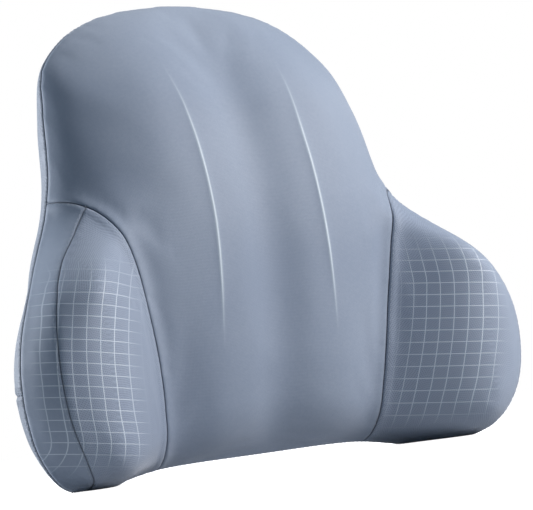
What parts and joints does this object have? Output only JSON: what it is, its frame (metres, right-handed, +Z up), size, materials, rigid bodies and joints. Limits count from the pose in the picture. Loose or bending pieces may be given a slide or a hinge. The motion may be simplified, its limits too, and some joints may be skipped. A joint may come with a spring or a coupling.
{
  "type": "lumbar support cushion",
  "caption": "Winged lumbar support cushion: moulded foam core in a zipped, panelled cover, with two buckled straps across the flat back.",
  "frame": {"origin": "bottom centre of the bounding box, on the surface that the cushion stands on", "axes": "+X to the right seen from the front, +Y out of the flat back, +Z up; the sitter leans on the -Y side"},
  "size_m": [0.4696, 0.157, 0.391],
  "materials": {
    "knit": "smooth stretch knit, slight sheen",
    "mesh": "fine dotted mesh knit with a pale grid",
    "back_mesh": "matt spacer mesh",
    "liner": "thin jersey",
    "foam": "open-cell memory foam",
    "zip_tape": "woven tape",
    "zip_coil": "nylon coil",
    "zip_metal": "plated",
    "webbing": "ribbed elastic webbing",
    "plastic": "moulded acetal"
  },
  "bodies": {
    "cushion": {"cover_centre_panel": "knit", "cover_outer_panel_left": "knit", "cover_outer_panel_right": "knit", "cover_wing_panel_left": "mesh", "cover_wing_panel_right": "mesh", "back_panel_upper": "back_mesh", "back_panel_lower": "back_mesh", "inner_liner": "liner", "foam_core": "foam", "zip_tape_upper": "zip_tape", "zip_tape_lower": "zip_tape", "zip_coil_upper": "zip_coil", "zip_coil_lower": "zip_coil", "zip_stop_left": "zip_metal", "zip_stop_right": "zip_metal", "lower_strap_left": "webbing", "lower_strap_right": "webbing", "lower_buckle_socket": "plastic", "upper_strap_left": "webbing", "upper_strap_right": "webbing", "upper_buckle_socket": "plastic"},
    "zip_slider": {"zip_slider": "zip_metal"},
    "zip_pull": {"zip_pull": "zip_metal"},
    "lower_plug": {"lower_buckle_plug": "plastic"},
    "lower_latch_top": {"lower_latch_top": "plastic"},
    "lower_latch_bottom": {"lower_latch_bottom": "plastic"},
    "lower_adjuster": {"lower_strap_adjuster": "plastic"},
    "upper_plug": {"upper_buckle_plug": "plastic"},
    "upper_latch_top": {"upper_latch_top": "plastic"},
    "upper_latch_bottom": {"upper_latch_bottom": "plastic"},
    "upper_adjuster": {"upper_strap_adjuster": "plastic"}
  },
  "joints": [
    {"name": "zip_slide", "type": "slide", "parent": "cushion", "child": "zip_slider", "axis": [-1, 0, 0], "range_m": [0, 0.257]},
    {"name": "zip_pull_swing", "type": "hinge", "parent": "zip_slider", "child": "zip_pull", "pos_m": [0.1286, 0.06955, 0.076], "axis": [0, 0, -1], "range_deg": [0, 180]},
    {"name": "lower_buckle_release", "type": "slide", "parent": "cushion", "child": "lower_plug", "axis": [1, 0, 0], "range_m": [0, 0.026], "deforming": ["lower_strap_right", "lower_latch_top", "lower_latch_bottom"]},
    {"name": "lower_latch_top_press", "type": "hinge", "parent": "lower_plug", "child": "lower_latch_top", "pos_m": [0, 0.07325, 0.1608], "axis": [0, -1, 0], "range_deg": [0, 10], "stiffness_Nm_per_rad": 0.08},
    {"name": "lower_latch_bottom_press", "type": "hinge", "parent": "lower_plug", "child": "lower_latch_bottom", "pos_m": [0, 0.07325, 0.1352], "axis": [0, 1, 0], "range_deg": [0, 10], "stiffness_Nm_per_rad": 0.08},
    {"name": "lower_adjuster_slide", "type": "slide", "parent": "cushion", "child": "lower_adjuster", "axis": [1, 0, 0], "range_m": [-0.016, 0.008], "deforming": ["lower_strap_right"]},
    {"name": "upper_buckle_release", "type": "slide", "parent": "cushion", "child": "upper_plug", "axis": [1, 0, 0], "range_m": [0, 0.026], "deforming": ["upper_strap_right", "upper_latch_top", "upper_latch_bottom"]},
    {"name": "upper_latch_top_press", "type": "hinge", "parent": "upper_plug", "child": "upper_latch_top", "pos_m": [0, 0.07325, 0.2808], "axis": [0, -1, 0], "range_deg": [0, 10], "stiffness_Nm_per_rad": 0.08},
    {"name": "upper_latch_bottom_press", "type": "hinge", "parent": "upper_plug", "child": "upper_latch_bottom", "pos_m": [0, 0.07325, 0.2552], "axis": [0, 1, 0], "range_deg": [0, 10], "stiffness_Nm_per_rad": 0.08},
    {"name": "upper_adjuster_slide", "type": "slide", "parent": "cushion", "child": "upper_adjuster", "axis": [1, 0, 0], "range_m": [-0.016, 0.008], "deforming": ["upper_strap_right"]}
  ]
}
